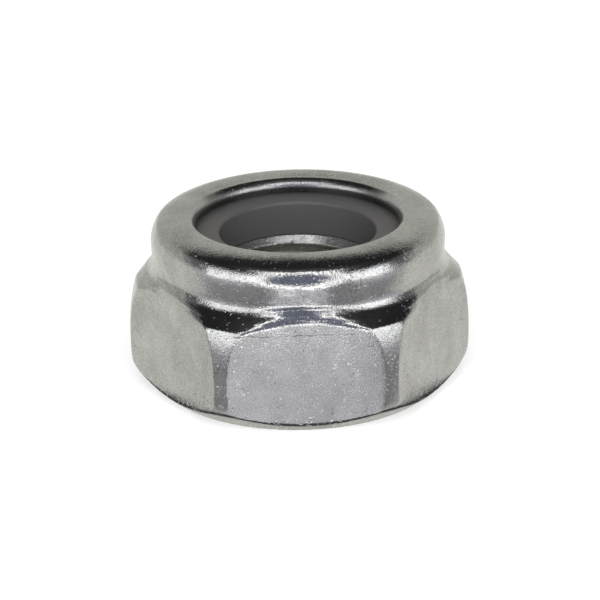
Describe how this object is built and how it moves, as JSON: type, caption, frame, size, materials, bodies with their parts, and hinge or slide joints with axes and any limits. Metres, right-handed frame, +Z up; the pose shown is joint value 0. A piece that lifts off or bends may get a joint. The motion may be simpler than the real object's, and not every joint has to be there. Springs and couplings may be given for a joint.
{
  "type": "nylon insert lock nut",
  "caption": "Hexagon lock nut with a raised collar whose rim is rolled in over a nylon ring.",
  "frame": {"origin": "centre of the flat bearing face", "axes": "+Z up the thread axis towards the nylon ring, +X through a corner of the hexagon, +Y through a flat"},
  "size_m": [0.0192, 0.017, 0.0099],
  "materials": {
    "zinc_plated_steel": "bright zinc plating over cold-formed steel",
    "nylon": "moulded dark grey nylon, satin"
  },
  "bodies": {
    "root": {"nut_body": "zinc_plated_steel", "nylon_insert": "nylon"}
  },
  "joints": []
}
